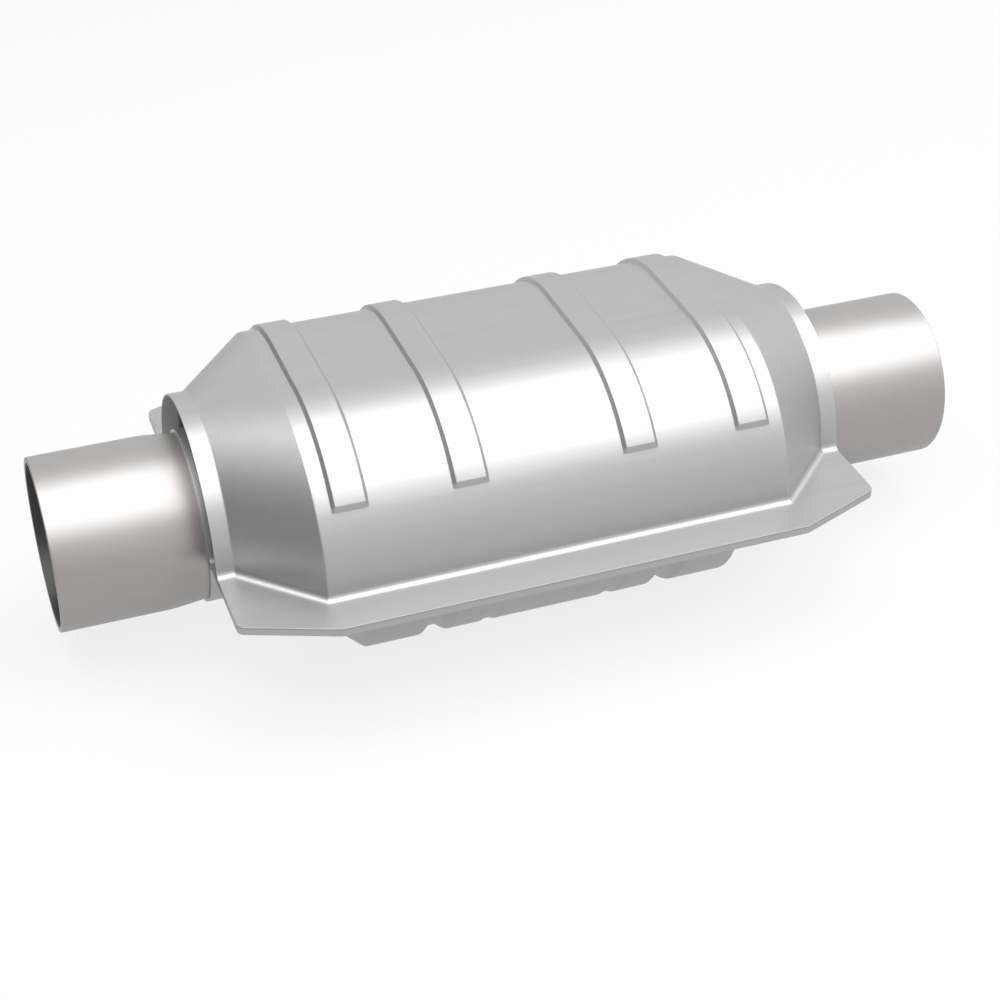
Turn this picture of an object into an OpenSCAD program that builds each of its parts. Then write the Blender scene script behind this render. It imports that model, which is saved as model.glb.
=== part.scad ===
// Catalytic converter: two pressed half shells, clamped at a flange all round, hold two
// honeycomb bricks in fibre mats, and a ribbed heat shield covers the upper half.
// X runs with the gas from the inlet to the outlet, Z points up, and the converter lies on
// the flats of its lower shell. The origin is on that plane, below the middle of the can.

/* [Pipes] */
// Length over both pipe ends
overall_l = 330.2; // [300:0.1:400]
// Outside diameter of the pipes and of the can's necks
pipe_od = 61; // [52:0.1:66]
// Wall of the pipes
pipe_wall = 1.9; // [1.2:0.1:2.6]
// Depth that each pipe goes into its neck
pipe_insert = 16; // [10:0.5:18]
// Length over which a pipe narrows in front of its neck
pipe_taper = 4.6; // [3:0.1:8]
// Open groove between the end of that taper and the neck's edge
pipe_groove = 0.8; // [0.4:0.1:2]

/* [Flange] */
// Length of the flange along the pipes
flange_l = 228.2; // [220:0.1:250]
// Width across the flange
flange_w = 165.6; // [160:0.1:190]
// Length of the straight edge at each side
flange_side_l = 165.6; // [120:0.1:190]
// Width of the straight edge at each end
flange_end_w = 140.6; // [110:0.1:158]
// Corner radius of the flange
flange_corner_r = 3; // [1:0.5:8]
// Radius of the fold where a wall turns out into the flange
fold_r = 2.5; // [1:0.1:3.5]

/* [Can] */
// Sheet thickness of both half shells
can_t = 1.2; // [0.8:0.1:1.6]
// Width across the body of the can
can_w = 130.4; // [126:0.1:131]
// Depth of each half shell, which is also the radius of its shoulders
can_r = 45; // [42:0.1:46]
// Length of the body at full section
can_l = 132; // [130:0.5:150]
// Length of each round neck
neck_l = 20.1; // [18:0.1:30]

/* [Grooves of the can] */
// Distance of the narrow grooves from the middle
narrow_groove_x = 22.4; // [18:0.1:26]
// Width of a narrow groove
narrow_groove_w = 5.8; // [4:0.1:8]
// Width of its floor
narrow_floor_w = 4; // [1:0.1:4]
// Depth of a narrow groove
narrow_groove_d = 0.6; // [0.3:0.1:1.5]
// Distance of the deep grooves from the middle
deep_groove_x = 42.2; // [38:0.1:46]
// Width of a deep groove
deep_groove_w = 10.6; // [8:0.1:12]
// Width of its floor
deep_floor_w = 4; // [2:0.1:6]
// Depth of a deep groove
deep_groove_d = 2.5; // [1:0.1:3.5]
// Angle below the flange at which the grooves begin
groove_start = 16; // [12:1:40]
// Slope of the grooves' ends
groove_ramp = 30; // [20:1:60]

/* [Heat shield] */
// Sheet thickness of the heat shield
shield_t = 0.6; // [0.4:0.1:0.8]
// Width across the body of the shield
shield_w = 133.8; // [133.6:0.1:138]
// Height of the shield over its own flange, and the radius of its shoulders
shield_r = 50; // [49:0.1:56]
// Length of the shield's body at full section
shield_l = 165.4; // [150:0.1:176]
// Outside diameter of the half-round collars
collar_od = 83.6; // [76:0.1:90]
// Length of each collar
collar_l = 6.1; // [3:0.1:10]

/* [Ribs of the shield] */
// Distance of the inner ribs from the middle
inner_rib_x = 30.1; // [20:0.1:40]
// Distance of the outer ribs from the middle
outer_rib_x = 71.4; // [60:0.1:72]
// Width of a rib at its foot
rib_w = 12.7; // [8:0.1:14]
// Width of a rib's flat top
rib_top_w = 10.3; // [6:0.1:11]
// Height of a rib
rib_h = 1.6; // [0.8:0.1:2.4]
// Angle above the flange at which a rib begins
rib_start = 34.3; // [20:0.1:60]
// Slope of a rib's ends
rib_ramp = 42; // [25:1:80]

/* [Bricks and mats] */
// Length of each brick
brick_l = 58; // [50:0.5:60]
// Space between the two bricks
brick_gap = 10; // [6:0.5:12]
// Thickness of the mat between a brick and the can
mat_t = 4.8; // [4:0.1:6]
// Width of the wire seal at each end of a mat
seal_l = 4; // [2:0.5:5]
// Open joint where the ends of a mat meet
mat_joint = 0.6; // [0.3:0.1:1.5]
// Side step of that joint at its tongue
mat_tongue = 14; // [8:1:24]
// Distance from one cell to the next
cell_pitch = 5.4; // [5:0.1:9]
// Wall between two cells
cell_wall = 0.9; // [0.6:0.1:1.4]
// Skin round the brick
brick_skin = 1; // [0.8:0.1:2]
// Sheet thickness of the ring between the bricks
spacer_t = 1; // [0.6:0.1:1.6]

/* [Cone liners] */
// Sheet thickness of the liners
liner_t = 0.8; // [0.5:0.1:1.2]
// Clearance between a liner's wide end and the brick
liner_gap = 1; // [0.5:0.1:2]
// Rim of the brick that the liner's wide end leaves covered
liner_lip = 1.5; // [1:0.1:3]
// Depth that a liner's neck goes into its pipe
liner_insert = 9; // [4:0.5:12]
// Distance that a liner's cone ends ahead of the can's cone
liner_lead = 3; // [2:0.5:5]
// Clearance between the cone blankets and the pipe
blanket_gap = 1.2; // [0.5:0.1:3]

/* [Hidden] */
$fn = 96;
loft_fn = 64;
over = 1;
big = 400;

can_c = can_w / 2 - can_r;
can_neck_x = flange_l / 2 - neck_l;
shield_c = shield_w / 2 - shield_r;
shield_neck_x = flange_l / 2 - collar_l;
pipe_r = pipe_od / 2;
insert_r = pipe_r - can_t;
insert_bore_r = insert_r - pipe_wall;
pipe_end_x = flange_l / 2 - pipe_insert;
mat_r = can_r - can_t;
brick_r = mat_r - mat_t;
brick_x = brick_gap / 2;
mat_x = brick_x + seal_l;
mat_l = brick_l - 2 * seal_l;
liner_x = brick_x + brick_l + liner_gap;

// A pressing is its sheet, shoulder radius, shoulder centre, half the body's length,
// neck radius and the place where the neck begins
CAN = [can_t, can_r, can_c, can_l / 2, pipe_r, can_neck_x];
SHIELD = [shield_t, shield_r, shield_c, shield_l / 2, collar_od / 2, shield_neck_x];
LINER = [liner_t, brick_r - liner_lip, can_c, liner_x, insert_bore_r, can_neck_x - liner_lead];

// Slope of a pressing's cone at its sides, and how far an inset surface's corners move by it
function cone_angle(form) = atan((form[1] + form[2] - form[4]) / (form[5] - form[3]));
function corner_shift(form, inset) = inset * tan(cone_angle(form) / 2);

// Distance from a round wall's foot to the centre of the fold that is tangent to it
function fold_out(wall_r, sheet) = sqrt(pow(wall_r + fold_r, 2) - pow(sheet + fold_r, 2)) - wall_r;

// Geometry of a rounded corner p between its neighbours a and b
function unit(v) = v / norm(v);
function half_angle(a, p, b) = acos(unit(a - p) * unit(b - p)) / 2;
function tangent_point(a, p, b, r) = p + unit(a - p) * r / tan(half_angle(a, p, b));
function round_centre(a, p, b, r) = p + unit(unit(a - p) + unit(b - p)) * r / sin(half_angle(a, p, b));

// Half the width of a square cell, and whether such a cell lies inside the brick's skin
cell_half = (cell_pitch - cell_wall) / 2;
function beyond_centre(y) = max(abs(y) + cell_half - can_c, 0);
function cell_fits(y, z) = norm([beyond_centre(y), abs(z) + cell_half]) < brick_r - brick_skin;

// Places a drawing in the YZ plane and extrudes it from x0 to x1
module along(x0, x1) {
    translate([x0, 0, 0])
        rotate([90, 0, 90])
            linear_extrude(x1 - x0)
                children();
}

// Places a turned section, drawn as radius and X, round the line of the pipes
module turned() {
    rotate([0, 90, 0])
        rotate_extrude()
            children();
}

// Mirrors what it holds to the other side of the part as well
module both(axis) {
    children();
    mirror(axis)
        children();
}

// Round section whose shoulders are centred a distance c to each side of the middle
module obround(r, c) {
    for (y = [-c, c])
        translate([y, 0])
            rotate([0, 0, -90])
                circle(r);
    translate([-c, -r])
        square([2 * c, 2 * r]);
}

// Everything above the plane of the flange
module above() {
    translate([-big / 2, -big / 2, 0])
        cube([big, big, big]);
}

// Round section with flats that touch its true round, one of them level at the top
module flats(r) {
    rotate(180 / loft_fn)
        circle(r / cos(180 / loft_fn), $fn = loft_fn);
}

// The same between two shoulders centred a distance c to each side of the middle
module flat_obround(r, c) {
    for (y = [-c, c])
        translate([y, 0])
            flats(r);
    translate([-c, -r])
        square([2 * c, 2 * r]);
}

// Closed form of a pressing with both halves, cones and necks, inset by a wall
module full_form(form, inset, end_x) {
    shift = corner_shift(form, inset);
    body_x = form[3] - shift;
    neck_x = form[5] - shift;
    hull() {
        along(-body_x, body_x)
            flat_obround(form[1] - inset, form[2]);
        along(-neck_x, neck_x)
            flats(form[4] - inset);
    }
    along(-end_x, end_x)
        rotate(180 / loft_fn)
            circle(form[4] - inset);
}

// Section of a fold beside a wall, on the face of the sheet or inset in its hollow: all that
// lies between the wall and the flange outside the fold's round
module fold_section(wall_r, sheet, inset, back, drop) {
    out = fold_out(wall_r, sheet);
    difference() {
        translate([-back, -drop])
            square([back + out, sheet + fold_r + drop]);
        translate([out, sheet + fold_r])
            circle(fold_r + inset);
    }
}

// Fold along a straight wall from p to q, led past them by an ease, with the flange on its left
module fold_run(p, q, before, after, wall_r, sheet, inset, back, drop) {
    d = q - p;
    translate([p[0], p[1], 0])
        rotate([0, 0, atan2(d[1], d[0])])
            along(-before, norm(d) + after)
                fold_section(wall_r, sheet, inset, back, drop);
}

// Folds along one quarter of a pressing, from the middle of the body to the end of the neck.
// Body and cone meet at an outside corner, so their folds are led on and cut each other to a
// mitre. Cone and neck meet at an inside corner, where the folds run into each other.
module quarter_folds(form, inset, drop) {
    sheet = form[0];
    wall_r = form[1];
    neck_r = form[4];
    middle = [0, form[2] + wall_r];
    shoulder = [form[3], form[2] + wall_r];
    throat = [form[5], neck_r];
    mouth = [flange_l / 2 + drop, neck_r];
    lap = inset + sheet / 2;
    ease = 2 * fold_r;
    intersection() {
        fold_run(middle, shoulder, 0, throat[0] - shoulder[0] + ease, wall_r, sheet, inset,
                 shoulder[1] - neck_r + lap, drop);
        fold_run(shoulder, throat, big, big, wall_r, sheet, inset, big, drop);
    }
    fold_run(throat, mouth, ease, 0, neck_r, sheet, inset, lap, drop);
}

// Folds all round a pressing
module folds(form, inset, drop) {
    both([1, 0, 0])
        both([0, 1, 0])
            quarter_folds(form, inset, drop);
}

// Outline of the flange, shared by all the pressings
module flange_outline() {
    side = flange_side_l / 2;
    end = flange_l / 2;
    wide = flange_w / 2;
    narrow = flange_end_w / 2;
    corners = [
        [end, narrow], [side, wide], [-side, wide], [-end, narrow],
        [-end, -narrow], [-side, -wide], [side, -wide], [end, -narrow]
    ];
    n = len(corners);
    polygon([
        for (i = [0:n - 1], towards = [-1, 1])
            let (a = corners[(i + towards + n) % n], b = corners[(i - towards + n) % n])
                tangent_point(a, corners[i], b, flange_corner_r)
    ]);
    for (i = [0:n - 1])
        translate(round_centre(corners[(i + 1) % n], corners[i], corners[(i - 1 + n) % n], flange_corner_r))
            circle(flange_corner_r);
}

// Outer face of a pressing: flange, body, cones and necks
module skin(form) {
    linear_extrude(form[0])
        flange_outline();
    intersection() {
        full_form(form, 0, flange_l / 2);
        above();
    }
    intersection() {
        folds(form, 0, 0);
        linear_extrude(form[0] + 2 * fold_r)
            flange_outline();
    }
}

// Space inside a pressing
module hollow(form) {
    full_form(form, form[0], flange_l / 2 + over);
    folds(form, form[0], over);
}

// Band round the upper half of an obround wall, standing out of it or sunk into it. Its sides
// keep one draft from its top, past the wall's face, to its back, and each of its ends slopes
// up or down from the foot at the start angle.
module band(x, r, c, foot_w, top_w, top_r, back_r, start, ramp) {
    back_w = top_w + (foot_w - top_w) * (back_r - top_r) / (r - top_r);
    section = [[back_r, -back_w / 2], [top_r, -top_w / 2], [top_r, top_w / 2], [back_r, back_w / 2]];
    raised = top_r > r;
    translate([x, 0, 0])
        difference() {
            union() {
                both([0, 1, 0])
                    translate([0, c, 0])
                        rotate([90, 0, 90])
                            rotate_extrude(angle = 90)
                                polygon(section);
                translate([0, -c, 0])
                    rotate([0, -90, -90])
                        linear_extrude(2 * c)
                            polygon(section);
            }
            both([0, 1, 0])
                translate([0, c + r * cos(start), r * sin(start)])
                    rotate([raised ? start - ramp : start + ramp, 0, 0])
                        translate([-big / 2, raised ? 0 : -big, -big])
                            cube([big, big, big + (raised ? big : r * sin(ramp))]);
        }
}

// Ribs pressed out of the shield, on its face or in its hollow
module ribs(inset, back) {
    wall = atan2(rib_h, (rib_w - rib_top_w) / 2);
    inward = inset * tan(wall / 2);
    r = shield_r - inset;
    for (x = [-outer_rib_x, -inner_rib_x, inner_rib_x, outer_rib_x])
        band(x, r, shield_c, rib_w - 2 * inward, rib_top_w - 2 * inward, r + rib_h, r - back,
             rib_start, rib_ramp);
}

// Grooves pressed into the can, on its face or, inset, as the bumps that they make inside
module grooves(inset, back) {
    for (g = [
        [narrow_groove_x, narrow_groove_w, narrow_floor_w, narrow_groove_d],
        [deep_groove_x, deep_groove_w, deep_floor_w, deep_groove_d]
    ]) {
        wall = atan2(g[3], (g[1] - g[2]) / 2);
        outward = inset * tan(wall / 2);
        r = can_r - inset;
        both([1, 0, 0])
            band(g[0], r, can_c, g[1] + 2 * outward, g[2] + 2 * outward, r - g[3], r + back,
                 groove_start, groove_ramp);
    }
}

// Lifts a piece from the plane of the can's joint to its place above the ground
module seated() {
    translate([0, 0, can_r])
        children();
}

module heat_shield() {
    color("gainsboro")
        seated()
            translate([0, 0, can_t])
                difference() {
                    union() {
                        skin(SHIELD);
                        ribs(0, shield_t / 2);
                    }
                    hollow(SHIELD);
                    ribs(shield_t, over);
                }
}

// One half of the can, with its grooves and the bumps that they make inside
module half_shell() {
    difference() {
        skin(CAN);
        grooves(0, over);
        difference() {
            hollow(CAN);
            grooves(can_t, over);
        }
    }
}

module upper_shell() {
    color("darkgray")
        seated()
            half_shell();
}

module lower_shell() {
    color("silver")
        seated()
            mirror([0, 0, 1])
                half_shell();
}

// Pipe at the outlet end, narrowed to slide into the neck
module pipe() {
    mouth = overall_l / 2;
    taper_end = flange_l / 2 + pipe_groove;
    taper_start = taper_end + pipe_taper;
    turned()
        polygon([
            [pipe_r, mouth], [pipe_r, taper_start], [insert_r, taper_end], [insert_r, pipe_end_x],
            [insert_bore_r, pipe_end_x], [insert_bore_r, taper_end],
            [pipe_r - pipe_wall, taper_start], [pipe_r - pipe_wall, mouth]
        ]);
}

module outlet_pipe() {
    color("rosybrown")
        seated()
            pipe();
}

module inlet_pipe() {
    color("rosybrown")
        seated()
            mirror([1, 0, 0])
                pipe();
}

// Honeycomb brick behind the middle: an obround block with square cells right through it
module brick() {
    across = floor((can_c + brick_r) / cell_pitch);
    up = floor(brick_r / cell_pitch);
    along(brick_x, brick_x + brick_l)
        difference() {
            obround(brick_r, can_c);
            for (i = [-across:across], j = [-up:up])
                if (cell_fits(i * cell_pitch, j * cell_pitch))
                    translate([i * cell_pitch, j * cell_pitch])
                        square(2 * cell_half, center = true);
        }
}

module rear_brick() {
    color("wheat")
        seated()
            brick();
}

module front_brick() {
    color("wheat")
        seated()
            mirror([1, 0, 0])
                brick();
}

// Ring between the brick and the can
module wrap(x0, length, inner_r, outer_r) {
    along(x0, x0 + length)
        difference() {
            obround(outer_r, can_c);
            obround(inner_r, can_c);
        }
}

// Joint of a mat's two ends, stepped aside in its middle third to form a tongue
module tongue_joint() {
    third = mat_l / 3;
    for (k = [0:2]) {
        side = k == 1 ? -mat_tongue / 2 : mat_tongue / 2;
        translate([mat_x + k * third - mat_joint / 2, side - mat_joint / 2, brick_r - over])
            cube([third + mat_joint, mat_joint, mat_t + 2 * over]);
    }
    for (k = [1, 2])
        translate([mat_x + k * third - mat_joint / 2, -(mat_tongue + mat_joint) / 2, brick_r - over])
            cube([mat_joint, mat_tongue + mat_joint, mat_t + 2 * over]);
    translate([mat_x - over, (mat_tongue - mat_joint) / 2, brick_r - over])
        cube([2 * over, mat_joint, mat_t + 2 * over]);
    translate([mat_x + mat_l - over, (mat_tongue - mat_joint) / 2, brick_r - over])
        cube([2 * over, mat_joint, mat_t + 2 * over]);
}

// Fibre mat wrapped round the brick behind the middle, pressed in by the can's grooves
module mat() {
    difference() {
        wrap(mat_x, mat_l, brick_r, mat_r);
        both([0, 0, 1])
            grooves(can_t, over);
        tongue_joint();
    }
}

module rear_mat() {
    color("tan")
        seated()
            mat();
}

module front_mat() {
    color("tan")
        seated()
            mirror([1, 0, 0])
                mat();
}

// Knitted wire seals that shield the ends of the mats from the gas
module inner_seal() {
    wrap(brick_x, seal_l, brick_r, mat_r);
}

module outer_seal() {
    wrap(mat_x + mat_l, seal_l, brick_r, mat_r);
}

module rear_inlet_seal() {
    color("slategray")
        seated()
            inner_seal();
}

module rear_outlet_seal() {
    color("slategray")
        seated()
            outer_seal();
}

module front_outlet_seal() {
    color("slategray")
        seated()
            mirror([1, 0, 0])
                inner_seal();
}

module front_inlet_seal() {
    color("slategray")
        seated()
            mirror([1, 0, 0])
                outer_seal();
}

// Ring that keeps the bricks apart, with a web in its middle that reaches the can
module brick_spacer() {
    color("lightslategray")
        seated() {
            wrap(-brick_x, brick_gap, brick_r - spacer_t, brick_r);
            wrap(-spacer_t / 2, spacer_t, brick_r - spacer_t, mat_r);
        }
}

// Liner of the outlet cone: a lip, a cone and a neck that slides into the pipe
module liner() {
    end_x = pipe_end_x + liner_insert;
    difference() {
        full_form(LINER, 0, end_x);
        full_form(LINER, liner_t, end_x + over);
        along(-end_x - over, liner_x)
            obround(brick_r, can_c);
    }
}

module outlet_liner() {
    color("lightsteelblue")
        seated()
            liner();
}

module inlet_liner() {
    color("lightsteelblue")
        seated()
            mirror([1, 0, 0])
                liner();
}

// Upper half of the insulation between the outlet liner and the can's cone
module blanket() {
    difference() {
        intersection() {
            full_form(CAN, can_t, flange_l / 2);
            above();
            along(liner_x, pipe_end_x - blanket_gap)
                obround(can_r, can_c);
        }
        full_form(LINER, 0, flange_l / 2);
    }
}

module outlet_upper_blanket() {
    color("ivory")
        seated()
            blanket();
}

module outlet_lower_blanket() {
    color("ivory")
        seated()
            mirror([0, 0, 1])
                blanket();
}

module inlet_upper_blanket() {
    color("ivory")
        seated()
            mirror([1, 0, 0])
                blanket();
}

module inlet_lower_blanket() {
    color("ivory")
        seated()
            mirror([1, 0, 0])
                mirror([0, 0, 1])
                    blanket();
}

heat_shield();
upper_shell();
lower_shell();
inlet_pipe();
outlet_pipe();
front_brick();
rear_brick();
front_mat();
rear_mat();
front_inlet_seal();
front_outlet_seal();
rear_inlet_seal();
rear_outlet_seal();
brick_spacer();
inlet_liner();
outlet_liner();
inlet_upper_blanket();
inlet_lower_blanket();
outlet_upper_blanket();
outlet_lower_blanket();
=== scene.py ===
import math

import bmesh
import bpy
from mathutils import Matrix, Vector


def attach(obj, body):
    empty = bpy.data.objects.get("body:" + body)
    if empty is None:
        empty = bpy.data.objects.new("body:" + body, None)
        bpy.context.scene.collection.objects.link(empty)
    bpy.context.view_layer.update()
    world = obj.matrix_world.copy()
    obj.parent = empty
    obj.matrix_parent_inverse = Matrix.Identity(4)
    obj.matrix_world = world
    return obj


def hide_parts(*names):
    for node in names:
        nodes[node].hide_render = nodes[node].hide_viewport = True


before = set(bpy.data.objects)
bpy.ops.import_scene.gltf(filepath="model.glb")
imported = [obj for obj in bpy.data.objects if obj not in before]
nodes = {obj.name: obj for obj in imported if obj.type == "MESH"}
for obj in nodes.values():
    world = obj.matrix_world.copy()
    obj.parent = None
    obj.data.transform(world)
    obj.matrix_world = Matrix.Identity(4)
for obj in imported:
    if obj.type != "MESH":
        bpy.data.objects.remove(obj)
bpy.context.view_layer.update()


# Camera: it looks down on the converter from the near left, with the inlet pipe towards it,
# as in the picture of the part.
CAMERA_AT = (-0.21017, -0.59928, 0.45459)
CAMERA_TURN = -19.336
CAMERA_DOWN = 34.107
CAMERA_ROLL = -0.624
camera_data = bpy.data.cameras.new("camera")
camera_data.sensor_width = 36.0
camera_data.lens = 75.14
camera_data.clip_start = 0.05
camera = bpy.data.objects.new("camera", camera_data)
camera.matrix_world = (
    Matrix.Translation(CAMERA_AT)
    @ Matrix.Rotation(math.radians(CAMERA_TURN), 4, "Z")
    @ Matrix.Rotation(math.radians(90 - CAMERA_DOWN), 4, "X")
    @ Matrix.Rotation(math.radians(CAMERA_ROLL), 4, "Z")
)
bpy.context.scene.collection.objects.link(camera)
bpy.context.scene.camera = camera
bpy.context.scene.view_settings.view_transform = "Standard"


# Studio: a plain white floor that keeps the shadow, a white room, and one broad soft box
# overhead. A grey card stands to the left of the part, as a photographer puts it to draw the
# edges of polished metal, and is seen in the reflections alone.
ROOM_LIGHT = 0.3  # what the room gives as light
ROOM_WHITE = 0.98  # what the camera sees of it, straight or mirrored
FLOOR_HALF_SIZE = 60.0
FLOOR_TONE = 0.18
FLOOR_MIRRORED = 0.63  # added to the floor's lit colour where the camera sees it in any way
FLOOR_WHITENED = 0.17  # added once more where it is seen straight
CARD_TONE = 0.3
CARD_HALF_SIZE = 0.5
CARD_AT = (-0.735, 0.2, 0.38)
CARD_LEAN = 39
CARD_STRETCH = (1.19, 1.8, 1, 1)
SOFT_BOX_AT = (0.6, -0.42, 1.25)


def shader_tree(name):
    """A new material, its emptied node tree and its output."""
    made = bpy.data.materials.new(name)
    made.use_nodes = True
    made.node_tree.nodes.clear()
    return made, made.node_tree, made.node_tree.nodes.new("ShaderNodeOutputMaterial")


def stage_plane(name, half_size, matrix, paint):
    """A flat square of the studio, which isn't part of the converter."""
    bm = bmesh.new()
    bmesh.ops.create_grid(bm, x_segments=1, y_segments=1, size=half_size)
    bmesh.ops.transform(bm, verts=bm.verts, matrix=matrix)
    mesh = bpy.data.meshes.new(name)
    bm.to_mesh(mesh)
    bm.free()
    mesh.materials.append(paint)
    plane = bpy.data.objects.new(name, mesh)
    bpy.context.scene.collection.objects.link(plane)
    return plane


def seen_rays(tree):
    """Two values that are 0 for rays that carry light: the first is 1 for what the camera sees in
    any way, mirrored too, and the second for what it sees straight or through glass."""
    ray = tree.nodes.new("ShaderNodeLightPath")
    straight = tree.nodes.new("ShaderNodeMath")
    straight.operation = "MAXIMUM"
    any_way = tree.nodes.new("ShaderNodeMath")
    any_way.operation = "MAXIMUM"
    tree.links.new(ray.outputs["Is Camera Ray"], straight.inputs[0])
    tree.links.new(ray.outputs["Is Transmission Ray"], straight.inputs[1])
    tree.links.new(straight.outputs[0], any_way.inputs[0])
    tree.links.new(ray.outputs["Is Glossy Ray"], any_way.inputs[1])
    return any_way.outputs[0], straight.outputs[0]


room = bpy.data.worlds.new("room")
room.use_nodes = True
tree = room.node_tree
seen, _ = seen_rays(tree)
room_level = tree.nodes.new("ShaderNodeMapRange")
room_level.inputs["To Min"].default_value = ROOM_LIGHT
room_level.inputs["To Max"].default_value = ROOM_WHITE
tree.links.new(seen, room_level.inputs["Value"])
tree.links.new(room_level.outputs[0], tree.nodes["Background"].inputs["Strength"])
tree.nodes["Background"].inputs["Color"].default_value = (1, 1, 1, 1)
bpy.context.scene.world = room

floor_paint, tree, out = shader_tree("floor_paint")
floor_lit = tree.nodes.new("ShaderNodeBsdfDiffuse")
floor_lit.inputs["Color"].default_value = (FLOOR_TONE, FLOOR_TONE, FLOOR_TONE, 1)
floor_glow = tree.nodes.new("ShaderNodeEmission")
floor_sum = tree.nodes.new("ShaderNodeAddShader")
seen, straight = seen_rays(tree)
mirrored_level = tree.nodes.new("ShaderNodeMath")
mirrored_level.operation = "MULTIPLY"
mirrored_level.inputs[1].default_value = FLOOR_MIRRORED
straight_level = tree.nodes.new("ShaderNodeMath")
straight_level.operation = "MULTIPLY_ADD"
straight_level.inputs[1].default_value = FLOOR_WHITENED
tree.links.new(seen, mirrored_level.inputs[0])
tree.links.new(straight, straight_level.inputs[0])
tree.links.new(mirrored_level.outputs[0], straight_level.inputs[2])
tree.links.new(straight_level.outputs[0], floor_glow.inputs["Strength"])
tree.links.new(floor_lit.outputs[0], floor_sum.inputs[0])
tree.links.new(floor_glow.outputs[0], floor_sum.inputs[1])
tree.links.new(floor_sum.outputs[0], out.inputs["Surface"])
stage_plane("floor", FLOOR_HALF_SIZE, Matrix.Identity(4), floor_paint)

card_paint, tree, out = shader_tree("card_paint")
card_grey = tree.nodes.new("ShaderNodeBsdfDiffuse")
card_grey.inputs["Color"].default_value = (CARD_TONE, CARD_TONE, CARD_TONE, 1)
tree.links.new(card_grey.outputs[0], out.inputs["Surface"])
card = stage_plane(
    "grey_card", CARD_HALF_SIZE,
    Matrix.Translation(CARD_AT) @ Matrix.Rotation(math.radians(CARD_LEAN), 4, "Y")
    @ Matrix.Diagonal(CARD_STRETCH),
    card_paint,
)
card.visible_camera = False
card.visible_diffuse = False
card.visible_shadow = False

soft_box = bpy.data.lights.new("soft_box", "AREA")
soft_box.shape = "RECTANGLE"
soft_box.size = 3.2
soft_box.size_y = 1.74
soft_box.energy = 35.7
lamp = bpy.data.objects.new("soft_box", soft_box)
lamp.matrix_world = Matrix.Translation(SOFT_BOX_AT)
bpy.context.scene.collection.objects.link(lamp)


# Heat shield: one thin sheet of coated steel, pressed in one stroke to a long half shell with
# four ribs, a cone and a half-round collar at each end, and a flat flange all round. It is
# clamped with the two half shells at the flange.
MM = 0.001  # one millimetre in metres; shapes are drawn in millimetres
PARTING = 45  # height of the plane in which the half shells meet
SAME = 1e-4  # vertices closer than this are one
NEAR = 1e-3  # slack when a vertex is looked for at a known place
FACET = 2.5  # degrees of a round side to one flat
FLANGE_END = 114.1
FLANGE_END_HALF_WIDTH = 70.3
FLANGE_SIDE_HALF_LENGTH = 82.8
FLANGE_HALF_WIDTH = 82.8
FLANGE_CORNER = 3.0
END_CORNER_FACETS = 6
SIDE_CORNER_FACETS = 3
FOLD = 2.5
FOLD_FACETS = 8
CREASE = 0.21  # folds sharper than this, in radians, get a rounded edge
RIB_EDGE = 0.3
CONE_EDGE = 0.9
SHIELD_SHEET = 0.6
SHELL_SHEET = 1.2
SHIELD_RIBS = [(30.1, 12.7, 10.3, 1.6, 34.3, 36.3), (71.4, 12.7, 10.3, 1.6, 34.3, 36.3)]
ALONG = (0.06, 1, 1)  # the grain's scale on each axis: drawn out along the part


def extend(bm, vert, to):
    """Draws an edge on from a vertex to a point and returns its new end."""
    new = bmesh.ops.extrude_vert_indiv(bm, verts=[vert])["verts"][0]
    new.co = to
    return new


def arc(bm, vert, centre, axis, degrees, steps):
    """Draws an arc on from a vertex and returns its new end."""
    spun = bmesh.ops.spin(
        bm, geom=[vert], cent=centre, axis=axis, dvec=(0, 0, 0),
        angle=math.radians(degrees), steps=steps, use_merge=False, use_duplicate=False,
    )
    return next(g for g in spun["geom_last"] if isinstance(g, bmesh.types.BMVert))


def drag(bm, edges):
    """Extrudes a chain of edges on the spot and returns the new chain's vertices and edges."""
    made = bmesh.ops.extrude_edge_only(bm, edges=edges)["geom"]
    verts = [g for g in made if isinstance(g, bmesh.types.BMVert)]
    fresh = set(verts)
    chain = [g for g in made if isinstance(g, bmesh.types.BMEdge) and set(g.verts) <= fresh]
    return verts, chain


def half_section(bm, sheet, r, c, stops):
    """Half of the body's section, from the fold's toe on the flange up to the middle of the top,
    with a vertex at each of the angles in stops. Returns the height of the fold's upper end."""
    tilt = math.degrees(math.asin((sheet + FOLD) / (r + FOLD)))
    out = math.sqrt((r + FOLD) ** 2 - (sheet + FOLD) ** 2) - r
    vert = bm.verts.new((0, c + r + out, sheet))
    vert = arc(bm, vert, (0, c + r + out, sheet + FOLD), (1, 0, 0), tilt - 90, FOLD_FACETS)
    foot = vert.co.z
    stops = [tilt] + sorted(stops) + [90]
    for a, b in zip(stops, stops[1:]):
        vert = arc(bm, vert, (0, c, 0), (1, 0, 0), b - a, max(1, round((b - a) / FACET)))
    extend(bm, vert, (0, 0, r))
    return foot


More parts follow.
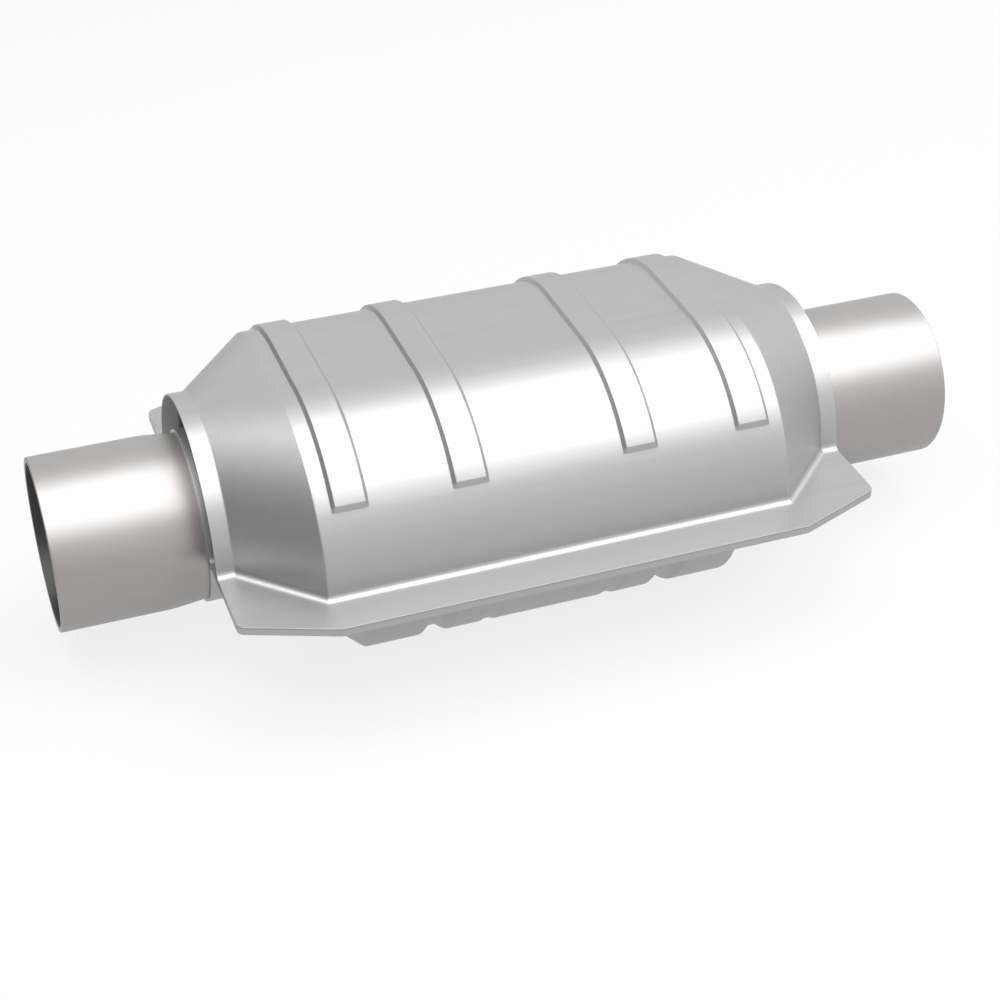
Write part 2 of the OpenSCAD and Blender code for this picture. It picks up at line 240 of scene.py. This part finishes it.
def flange_quarter(bm, sheet):
    """Fills the flange from the fold's toe to the outline, with rounded corners."""
    toe = [e for e in bm.edges if e.is_boundary and all(abs(v.co.z - sheet) < SAME for v in e.verts)]
    ends = [v for e in toe for v in e.verts]
    first = max(ends, key=lambda v: v.co.x)
    last = min(ends, key=lambda v: v.co.x)
    drop = FLANGE_HALF_WIDTH - FLANGE_END_HALF_WIDTH
    slant = math.atan2(drop, FLANGE_END - FLANGE_SIDE_HALF_LENGTH)
    cut_end = FLANGE_CORNER * math.tan((math.pi / 2 - slant) / 2)
    cut_side = FLANGE_CORNER * math.tan(slant / 2)
    known = set(bm.edges)
    vert = extend(bm, first, (FLANGE_END, FLANGE_END_HALF_WIDTH - cut_end, sheet))
    vert = arc(bm, vert, (FLANGE_END - FLANGE_CORNER, FLANGE_END_HALF_WIDTH - cut_end, sheet),
               (0, 0, 1), 90 - math.degrees(slant), END_CORNER_FACETS)
    vert = extend(bm, vert, (FLANGE_SIDE_HALF_LENGTH + cut_side * math.cos(slant),
                             FLANGE_HALF_WIDTH - cut_side * math.sin(slant), sheet))
    vert = arc(bm, vert, (FLANGE_SIDE_HALF_LENGTH - cut_side, FLANGE_HALF_WIDTH - FLANGE_CORNER, sheet),
               (0, 0, 1), math.degrees(slant), SIDE_CORNER_FACETS)
    vert = extend(bm, vert, (0, FLANGE_HALF_WIDTH, sheet))
    bm.edges.new((vert, last))
    outline = [e for e in bm.edges if e not in known]
    bmesh.ops.contextual_create(bm, geom=outline + toe)


def press_sheet(sheet, r, c, body, neck_r, neck_x, bands):
    """Outer face of a pressed half in millimetres over its flange's plane, as a bmesh.
    Its top is flat for c to each side of the middle, and its sides are round with radius r. The
    body runs straight for body to each end, and the cones end at neck_x in a neck of radius
    neck_r. A band, a rib or a groove, is its place along the part, its widths at foot and top,
    its height and the angles up the side at which its end begins and reaches the top."""
    bm = bmesh.new()
    foot = half_section(bm, sheet, r, c, {angle for band in bands for angle in band[4:]})
    lean = math.tan(math.atan((r + c - neck_r) / (neck_x - body)) / 2)
    chain = bm.edges[:]
    stations = sorted([x + s * w / 2 for x, *widths, _, _, _ in bands for w in widths for s in (-1, 1)])
    at = 0.0
    for x in stations + [body]:
        verts, chain = drag(bm, chain)
        bmesh.ops.translate(bm, verts=verts, vec=(x - at, 0, 0))
        at = x
    for v in verts:
        if v.co.z < foot + SAME:
            v.co.x += max(0, v.co.y - c - r) * lean
    verts, chain = drag(bm, chain)
    for v in verts:
        if v.co.z < foot + SAME:
            v.co.y += neck_r - c - r
            v.co.x = neck_x + max(0, v.co.y - neck_r) * lean
        else:
            v.co = (neck_x, max(0, v.co.y - c) * neck_r / r, v.co.z * neck_r / r)
    verts, chain = drag(bm, chain)
    for v in verts:
        v.co.x = FLANGE_END
    for x, _, top_w, height, _, reached in bands:
        for v in bm.verts:
            out = Vector((0, max(0, v.co.y - c), v.co.z))
            past = v.co.z > 0 and math.degrees(math.atan2(v.co.z, out.y)) > reached - NEAR
            if abs(v.co.x - x) < top_w / 2 + NEAR and past:
                v.co += out.normalized() * height
    flange_quarter(bm, sheet)
    bmesh.ops.remove_doubles(bm, verts=bm.verts, dist=SAME)
    for axis in "XY":
        everything = bm.verts[:] + bm.edges[:] + bm.faces[:]
        bmesh.ops.mirror(bm, geom=everything, matrix=Matrix.Identity(4), merge_dist=SAME, axis=axis)
    bmesh.ops.remove_doubles(bm, verts=bm.verts, dist=SAME)
    bmesh.ops.recalc_face_normals(bm, faces=bm.faces)
    highest = max(bm.faces, key=lambda f: f.calc_center_median().z)
    if highest.normal.z < 0:
        bmesh.ops.reverse_faces(bm, faces=bm.faces)

    def creases(test):
        return [e for e in bm.edges if not e.is_boundary and test(e) and e.calc_face_angle(0) > CREASE]

    ends = body - 0.5
    on_body = creases(lambda e: max(abs(v.co.x) for v in e.verts) < ends)
    bmesh.ops.bevel(bm, geom=on_body, offset=RIB_EDGE, offset_type="OFFSET", segments=2, profile=0.5,
                    affect="EDGES", material=-1, clamp_overlap=True)
    on_ends = creases(lambda e: min(abs(v.co.x) for v in e.verts) > ends)
    bmesh.ops.bevel(bm, geom=on_ends, offset=CONE_EDGE, offset_type="OFFSET", segments=3, profile=0.5,
                    affect="EDGES", material=-1, clamp_overlap=True)
    return bm


def add_piece(name, bm, paints, node):
    """Puts a finished shape in the scene, in metres, in the place of its CAD node."""
    bmesh.ops.scale(bm, verts=bm.verts, vec=(MM, MM, MM))
    mesh = bpy.data.meshes.new(name)
    bm.to_mesh(mesh)
    bm.free()
    for paint in paints:
        mesh.materials.append(paint)
    piece = bpy.data.objects.new(name, mesh)
    bpy.context.scene.collection.objects.link(piece)
    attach(piece, "root")
    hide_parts(node)
    return piece


def finish_sheet(name, bm, sheet, paint, inside, node):
    """Makes a pressed sheet of its outer face: smooth shading, true thickness, worn edge."""
    for face in bm.faces:
        face.smooth = True
    piece = add_piece(name, bm, (paint, inside), node)
    wall = piece.modifiers.new("sheet", "SOLIDIFY")
    wall.thickness = sheet * MM
    wall.offset = -1
    wall.use_even_offset = True
    wall.material_offset = 1
    edge = piece.modifiers.new("edge", "BEVEL")
    edge.width = 0.12 * MM
    edge.segments = 2
    edge.limit_method = "ANGLE"
    edge.angle_limit = math.radians(65)
    shade = piece.modifiers.new("shade", "WEIGHTED_NORMAL")
    shade.keep_sharp = True


def sheet_metal(name, tone, rough, along, bare):
    """Rolled sheet: grain drawn out along one axis, in tone, gloss and faint waviness. bare is 1
    for clean metal and 0 for a non-metallic face."""
    made, tree, out = shader_tree(name)
    metal = tree.nodes.new("ShaderNodeBsdfPrincipled")
    metal.inputs["Metallic"].default_value = bare
    place = tree.nodes.new("ShaderNodeTexCoord")
    drawn = tree.nodes.new("ShaderNodeMapping")
    drawn.inputs["Scale"].default_value = along
    grain = tree.nodes.new("ShaderNodeTexNoise")
    grain.inputs["Scale"].default_value = 900
    grain.inputs["Detail"].default_value = 3
    mottle = tree.nodes.new("ShaderNodeTexNoise")
    mottle.inputs["Scale"].default_value = 250
    mottle.inputs["Detail"].default_value = 4
    tint = tree.nodes.new("ShaderNodeMix")
    tint.data_type = "RGBA"
    tint.inputs["A"].default_value = (*[t * 0.95 for t in tone], 1)
    tint.inputs["B"].default_value = (*[t * 1.05 for t in tone], 1)
    gloss = tree.nodes.new("ShaderNodeMapRange")
    gloss.inputs["To Min"].default_value = rough - 0.04
    gloss.inputs["To Max"].default_value = rough + 0.04
    dents = tree.nodes.new("ShaderNodeBump")
    dents.inputs["Strength"].default_value = 0.05
    dents.inputs["Distance"].default_value = 0.0001
    tree.links.new(place.outputs["Object"], drawn.inputs["Vector"])
    tree.links.new(drawn.outputs[0], grain.inputs["Vector"])
    tree.links.new(drawn.outputs[0], mottle.inputs["Vector"])
    tree.links.new(mottle.outputs["Fac"], tint.inputs["Factor"])
    tree.links.new(tint.outputs["Result"], metal.inputs["Base Color"])
    tree.links.new(grain.outputs["Fac"], gloss.inputs["Value"])
    tree.links.new(gloss.outputs[0], metal.inputs["Roughness"])
    tree.links.new(grain.outputs["Fac"], dents.inputs["Height"])
    tree.links.new(dents.outputs[0], metal.inputs["Normal"])
    tree.links.new(metal.outputs[0], out.inputs["Surface"])
    return made


coated_steel = sheet_metal("coated_steel", (0.455, 0.455, 0.455), 0.4, ALONG, 1.0)
# The inside face of every sheet is painted a pale, non-metallic grey, paler than the steel. It is painted
# light that lifts the shaded insides of the collars.
inner_face_painted_light = sheet_metal("inner_face_painted_light", (0.8, 0.8, 0.8), 0.6, ALONG, 0.0)
shield_bm = press_sheet(sheet=SHIELD_SHEET, r=50, c=16.9, body=82.7, neck_r=41.8, neck_x=108.0,
                        bands=SHIELD_RIBS)
bmesh.ops.translate(shield_bm, verts=shield_bm.verts, vec=(0, 0, PARTING + SHELL_SHEET))
finish_sheet("heat_shield_pressing", shield_bm, SHIELD_SHEET, coated_steel, inner_face_painted_light,
             "heat_shield")


# Upper and lower half shell: the same pressing in stainless sheet, turned over for the lower
# half, with one narrow and one deep groove to each side of the middle that grip the mats.
# They are welded at the flange and round the pipes.
GROOVES = [(22.4, 5.8, 4.0, -0.6, 16, 17.4), (42.2, 10.6, 4.0, -2.5, 16, 22.4)]
shell_steel = sheet_metal("shell_steel", (0.475, 0.475, 0.475), 0.38, ALONG, 1.0)
upper_bm = press_sheet(sheet=SHELL_SHEET, r=45, c=20.2, body=66, neck_r=30.5, neck_x=94.0,
                       bands=GROOVES)
lower_bm = upper_bm.copy()
bmesh.ops.translate(upper_bm, verts=upper_bm.verts, vec=(0, 0, PARTING))
finish_sheet("upper_shell_pressing", upper_bm, SHELL_SHEET, shell_steel, inner_face_painted_light,
             "upper_shell")
bmesh.ops.scale(lower_bm, verts=lower_bm.verts, vec=(1, 1, -1))
bmesh.ops.reverse_faces(lower_bm, faces=lower_bm.faces)
bmesh.ops.translate(lower_bm, verts=lower_bm.verts, vec=(0, 0, PARTING))
finish_sheet("lower_shell_pressing", lower_bm, SHELL_SHEET, shell_steel, inner_face_painted_light,
             "lower_shell")


# Inlet and outlet pipe: brushed stainless tube ends. Each is narrowed a little where it slides
# into the neck of the can, and its open end is cut square with its edges just broken.
PIPE_MOUTH = 165.1
TAPER_OUT = 125.5
TAPER_IN = 114.4
PIPE_INNER_END = 98.1
PIPE_PROFILE = [
    (PIPE_MOUTH, 30.5), (TAPER_OUT, 30.5), (TAPER_IN, 29.3), (PIPE_INNER_END, 29.3),
    (PIPE_INNER_END, 27.4), (TAPER_IN, 27.4), (TAPER_OUT, 28.6), (PIPE_MOUTH, 28.6),
]
BORE_LIMIT = 28.7  # faces nearer to the axis than this are the bore
PIPE_FACETS = 120
MOUTH_EDGE = 0.35
TAPER_EDGE = 3
SHARP = 0.9  # edges sharper than this, in radians, aren't shaded smooth


def brushed_tube(name, tone, rough):
    """Brushed tube: fine turned lines round the axis in gloss and relief, and a faint mottle."""
    made, tree, out = shader_tree(name)
    metal = tree.nodes.new("ShaderNodeBsdfPrincipled")
    metal.inputs["Metallic"].default_value = 1.0
    place = tree.nodes.new("ShaderNodeTexCoord")
    lines = tree.nodes.new("ShaderNodeMapping")
    lines.inputs["Scale"].default_value = (60, 1, 1)
    brush = tree.nodes.new("ShaderNodeTexNoise")
    brush.inputs["Scale"].default_value = 40
    brush.inputs["Detail"].default_value = 5
    mottle = tree.nodes.new("ShaderNodeTexNoise")
    mottle.inputs["Scale"].default_value = 70
    mottle.inputs["Detail"].default_value = 3
    tint = tree.nodes.new("ShaderNodeMix")
    tint.data_type = "RGBA"
    tint.inputs["A"].default_value = (*[t * 0.95 for t in tone], 1)
    tint.inputs["B"].default_value = (*[t * 1.05 for t in tone], 1)
    gloss = tree.nodes.new("ShaderNodeMapRange")
    gloss.inputs["To Min"].default_value = rough - 0.04
    gloss.inputs["To Max"].default_value = rough + 0.04
    ridges = tree.nodes.new("ShaderNodeBump")
    ridges.inputs["Strength"].default_value = 0.08
    ridges.inputs["Distance"].default_value = 0.0001
    tree.links.new(place.outputs["Object"], lines.inputs["Vector"])
    tree.links.new(lines.outputs[0], brush.inputs["Vector"])
    tree.links.new(place.outputs["Object"], mottle.inputs["Vector"])
    tree.links.new(mottle.outputs["Fac"], tint.inputs["Factor"])
    tree.links.new(tint.outputs["Result"], metal.inputs["Base Color"])
    tree.links.new(brush.outputs["Fac"], gloss.inputs["Value"])
    tree.links.new(gloss.outputs[0], metal.inputs["Roughness"])
    tree.links.new(brush.outputs["Fac"], ridges.inputs["Height"])
    tree.links.new(ridges.outputs[0], metal.inputs["Normal"])
    tree.links.new(metal.outputs[0], out.inputs["Surface"])
    return made


tube_steel = brushed_tube("tube_steel", (0.42, 0.413, 0.406), 0.4)
# The bore is the same brushed tube painted nearly black: painted shade for the dark inside of the pipe.
bore_painted_shade = brushed_tube("bore_painted_shade", (0.07, 0.069, 0.067), 0.4)
for name, node, side in (("outlet_tube", "outlet_pipe", 1), ("inlet_tube", "inlet_pipe", -1)):
    bm = bmesh.new()
    ring = [bm.verts.new((side * x, 0, r)) for x, r in PIPE_PROFILE]
    outline = [bm.edges.new((a, b)) for a, b in zip(ring, ring[1:] + ring[:1])]
    bmesh.ops.spin(bm, geom=ring + outline, cent=(0, 0, 0), axis=(1, 0, 0), dvec=(0, 0, 0),
                   angle=math.tau, steps=PIPE_FACETS, use_merge=True, use_duplicate=False)
    bmesh.ops.remove_doubles(bm, verts=bm.verts, dist=SAME)
    bmesh.ops.recalc_face_normals(bm, faces=bm.faces)
    mouth = [e for e in bm.edges if all(abs(abs(v.co.x) - PIPE_MOUTH) < NEAR for v in e.verts)
             and e.calc_face_angle(0) > SHARP]
    bmesh.ops.bevel(bm, geom=mouth, offset=MOUTH_EDGE, offset_type="OFFSET", segments=3, profile=0.5,
                    affect="EDGES", material=-1, clamp_overlap=True)
    taper = [e for e in bm.edges if all(TAPER_IN - NEAR < abs(v.co.x) < TAPER_OUT + NEAR for v in e.verts)
             and abs(e.verts[0].co.x - e.verts[1].co.x) < NEAR]
    bmesh.ops.bevel(bm, geom=taper, offset=TAPER_EDGE, offset_type="OFFSET", segments=5, profile=0.5,
                    affect="EDGES", material=-1, clamp_overlap=True)
    for face in bm.faces:
        face.smooth = True
        # Faces nearer the axis than BORE_LIMIT take the bore's painted shade.
        face.material_index = int(all(math.hypot(v.co.y, v.co.z) < BORE_LIMIT for v in face.verts))
    for edge in bm.edges:
        edge.smooth = edge.calc_face_angle(0) < SHARP
    bmesh.ops.translate(bm, verts=bm.verts, vec=(0, 0, PARTING))
    add_piece(name, bm, (tube_steel, bore_painted_shade), node)


# Front and rear brick: extruded ceramic honeycomb of thin square cells inside a closed skin,
# dipped in a pale washcoat. Each is wrapped in its fibre mat and held by the closed can.
BRICK_R = 39.0
BRICK_C = 20.2
BRICK_LENGTH = 58
SKIN = 0.4  # least thickness of the closed skin
SKIN_FACETS = 60  # flats to each half round
CELL_PITCH = 1.47
CELL_WALL = 0.2
CELL_ROWS = 52
CELL_COLUMNS = 80


def washcoat(name, tone):
    """Fired ceramic with a washcoat: chalky, a little blotchy and finely rough."""
    made, tree, out = shader_tree(name)
    clay = tree.nodes.new("ShaderNodeBsdfPrincipled")
    clay.inputs["Roughness"].default_value = 0.92
    place = tree.nodes.new("ShaderNodeTexCoord")
    blotch = tree.nodes.new("ShaderNodeTexNoise")
    blotch.inputs["Scale"].default_value = 120
    blotch.inputs["Detail"].default_value = 4
    tint = tree.nodes.new("ShaderNodeMix")
    tint.data_type = "RGBA"
    tint.inputs["A"].default_value = (*[t * 0.86 for t in tone], 1)
    tint.inputs["B"].default_value = (*[t * 1.1 for t in tone], 1)
    pores = tree.nodes.new("ShaderNodeTexNoise")
    pores.inputs["Scale"].default_value = 4000
    rough = tree.nodes.new("ShaderNodeBump")
    rough.inputs["Strength"].default_value = 0.4
    rough.inputs["Distance"].default_value = 0.00005
    tree.links.new(place.outputs["Object"], blotch.inputs["Vector"])
    tree.links.new(place.outputs["Object"], pores.inputs["Vector"])
    tree.links.new(blotch.outputs["Fac"], tint.inputs["Factor"])
    tree.links.new(tint.outputs["Result"], clay.inputs["Base Color"])
    tree.links.new(pores.outputs["Fac"], rough.inputs["Height"])
    tree.links.new(rough.outputs[0], clay.inputs["Normal"])
    tree.links.new(clay.outputs[0], out.inputs["Surface"])
    return made


coated_ceramic = washcoat("coated_ceramic", (0.72, 0.62, 0.48))
for name, node, start in (("front_honeycomb", "front_brick", -63), ("rear_honeycomb", "rear_brick", 5)):
    bm = bmesh.new()
    bmesh.ops.create_grid(bm, x_segments=CELL_ROWS, y_segments=CELL_COLUMNS, size=0.5 * CELL_PITCH)
    bmesh.ops.scale(bm, verts=bm.verts, vec=(CELL_ROWS, CELL_COLUMNS, 1))
    bmesh.ops.rotate(bm, verts=bm.verts, cent=(0, 0, 0), matrix=Matrix.Rotation(math.pi / 2, 3, "Y"))
    outside = [f for f in bm.faces if any(
        math.hypot(max(0, abs(v.co.y) - BRICK_C), v.co.z) > BRICK_R - SKIN for v in f.verts)]
    bmesh.ops.delete(bm, geom=outside, context="FACES")
    cells = bm.faces[:]
    outline = [e for e in bm.edges if e.is_boundary]
    known = set(bm.edges)
    first = bm.verts.new((0, -BRICK_C, BRICK_R))
    vert = extend(bm, first, (0, BRICK_C, BRICK_R))
    vert = arc(bm, vert, (0, BRICK_C, 0), (1, 0, 0), -180, SKIN_FACETS)
    vert = extend(bm, vert, (0, -BRICK_C, -BRICK_R))
    vert = arc(bm, vert, (0, -BRICK_C, 0), (1, 0, 0), -180, SKIN_FACETS)
    bmesh.ops.weld_verts(bm, targetmap={vert: first})
    skin = [e for e in bm.edges if e not in known]
    bmesh.ops.triangle_fill(bm, edges=outline + skin, use_beauty=True, use_dissolve=False)
    bmesh.ops.inset_individual(bm, faces=cells, thickness=CELL_WALL / 2, depth=0, use_even_offset=True)
    bmesh.ops.delete(bm, geom=cells, context="FACES")
    drawn = bmesh.ops.extrude_face_region(bm, geom=bm.faces[:])["geom"]
    far_end = [g for g in drawn if isinstance(g, bmesh.types.BMVert)]
    bmesh.ops.translate(bm, verts=far_end, vec=(BRICK_LENGTH, 0, 0))
    bmesh.ops.recalc_face_normals(bm, faces=bm.faces)
    bmesh.ops.translate(bm, verts=bm.verts, vec=(start, 0, PARTING))
    add_piece(name, bm, (coated_ceramic,), node)


# Mats: blankets of ceramic fibre with mineral flakes, wrapped once round each brick and closed
# by a stepped joint. They are squeezed between brick and can, and swell with heat to grip.
def repaint(node, paint):
    """Gives a CAD node's object its finish."""
    slots = nodes[node].data.materials
    slots.clear()
    slots.append(paint)


def fibre_felt(name, tone, flake_tone, flake_size):
    """Pressed fibre: a tangle of fine strands along the wrap, with flakes or slubs in it."""
    made, tree, out = shader_tree(name)
    felt = tree.nodes.new("ShaderNodeBsdfPrincipled")
    felt.inputs["Roughness"].default_value = 0.95
    felt.inputs["Sheen Weight"].default_value = 0.2
    place = tree.nodes.new("ShaderNodeTexCoord")
    lay = tree.nodes.new("ShaderNodeMapping")
    lay.inputs["Scale"].default_value = (1, 0.15, 0.15)
    strands = tree.nodes.new("ShaderNodeTexNoise")
    strands.inputs["Scale"].default_value = 2500
    strands.inputs["Detail"].default_value = 5
    strands.inputs["Distortion"].default_value = 1.5
    flakes = tree.nodes.new("ShaderNodeTexVoronoi")
    flakes.inputs["Scale"].default_value = 1 / flake_size
    spots = tree.nodes.new("ShaderNodeMapRange")
    spots.inputs["From Min"].default_value = 0.25
    spots.inputs["From Max"].default_value = 0.05
    tint = tree.nodes.new("ShaderNodeMix")
    tint.data_type = "RGBA"
    tint.inputs["A"].default_value = (*tone, 1)
    tint.inputs["B"].default_value = (*flake_tone, 1)
    nap = tree.nodes.new("ShaderNodeBump")
    nap.inputs["Strength"].default_value = 0.7
    nap.inputs["Distance"].default_value = 0.0002
    tree.links.new(place.outputs["Object"], lay.inputs["Vector"])
    tree.links.new(lay.outputs[0], strands.inputs["Vector"])
    tree.links.new(place.outputs["Object"], flakes.inputs["Vector"])
    tree.links.new(flakes.outputs["Distance"], spots.inputs["Value"])
    tree.links.new(spots.outputs[0], tint.inputs["Factor"])
    tree.links.new(tint.outputs["Result"], felt.inputs["Base Color"])
    tree.links.new(strands.outputs["Fac"], nap.inputs["Height"])
    tree.links.new(nap.outputs[0], felt.inputs["Normal"])
    tree.links.new(felt.outputs[0], out.inputs["Surface"])
    return made


mat_felt = fibre_felt("mat_felt", (0.62, 0.53, 0.38), (0.4, 0.3, 0.16), 0.0016)
repaint("front_mat", mat_felt)
repaint("rear_mat", mat_felt)


# Seals: rings knitted of fine stainless wire and rolled flat, one at each end of both mats.
# They keep the gas off the fibre and are held by the same squeeze.
def wire_knit(name, tone, stitch):
    """Knitted wire: rows of small loops that catch the light, with painted shade between them."""
    made, tree, out = shader_tree(name)
    wire = tree.nodes.new("ShaderNodeBsdfPrincipled")
    wire.inputs["Metallic"].default_value = 1.0
    wire.inputs["Roughness"].default_value = 0.4
    place = tree.nodes.new("ShaderNodeTexCoord")
    loops = tree.nodes.new("ShaderNodeTexVoronoi")
    loops.inputs["Scale"].default_value = 1 / stitch
    loops.inputs["Randomness"].default_value = 0.45
    gap_shade = tree.nodes.new("ShaderNodeMapRange")
    gap_shade.inputs["From Min"].default_value = 0.25
    gap_shade.inputs["From Max"].default_value = 0.6
    tint = tree.nodes.new("ShaderNodeMix")
    tint.data_type = "RGBA"
    tint.inputs["A"].default_value = (*tone, 1)
    # Painted shade: the colour falls to a quarter in the dips between the loops.
    tint.inputs["B"].default_value = (*[t * 0.25 for t in tone], 1)
    round_wire = tree.nodes.new("ShaderNodeBump")
    round_wire.inputs["Strength"].default_value = 0.8
    round_wire.inputs["Distance"].default_value = 0.0003
    round_wire.invert = True
    tree.links.new(place.outputs["Object"], loops.inputs["Vector"])
    tree.links.new(loops.outputs["Distance"], gap_shade.inputs["Value"])
    tree.links.new(gap_shade.outputs[0], tint.inputs["Factor"])
    tree.links.new(tint.outputs["Result"], wire.inputs["Base Color"])
    tree.links.new(loops.outputs["Distance"], round_wire.inputs["Height"])
    tree.links.new(round_wire.outputs[0], wire.inputs["Normal"])
    tree.links.new(wire.outputs[0], out.inputs["Surface"])
    return made


seal_knit = wire_knit("seal_knit", (0.46, 0.45, 0.44), 0.0009)
for node in ("front_inlet_seal", "front_outlet_seal", "rear_inlet_seal", "rear_outlet_seal"):
    repaint(node, seal_knit)


# Brick spacer: a ring of stainless sheet rolled to the bricks' outline. It is laid between the
# two bricks and keeps their faces apart.
ROUND_ABOUT = (1, 0.06, 0.06)  # the grain's scale: drawn out round the ring
repaint("brick_spacer", sheet_metal("spacer_steel", (0.5, 0.49, 0.48), 0.35, ROUND_ABOUT, 1.0))


# Inlet and outlet liner: inner cones of thin stainless sheet that lead the gas from the pipe to
# the whole face of the brick. Their necks sit in the pipe ends and are welded with them.
liner_steel = sheet_metal("liner_steel", (0.48, 0.465, 0.45), 0.38, ALONG, 1.0)
repaint("inlet_liner", liner_steel)
repaint("outlet_liner", liner_steel)


# Blankets: pads of white ceramic fibre, cut to shape and laid in each half shell before it is
# closed. They fill the gap between liner and can and keep the heat in.
blanket_felt = fibre_felt("blanket_felt", (0.8, 0.79, 0.75), (0.7, 0.68, 0.62), 0.0025)
for node in ("inlet_upper_blanket", "inlet_lower_blanket", "outlet_upper_blanket", "outlet_lower_blanket"):
    repaint(node, blanket_felt)
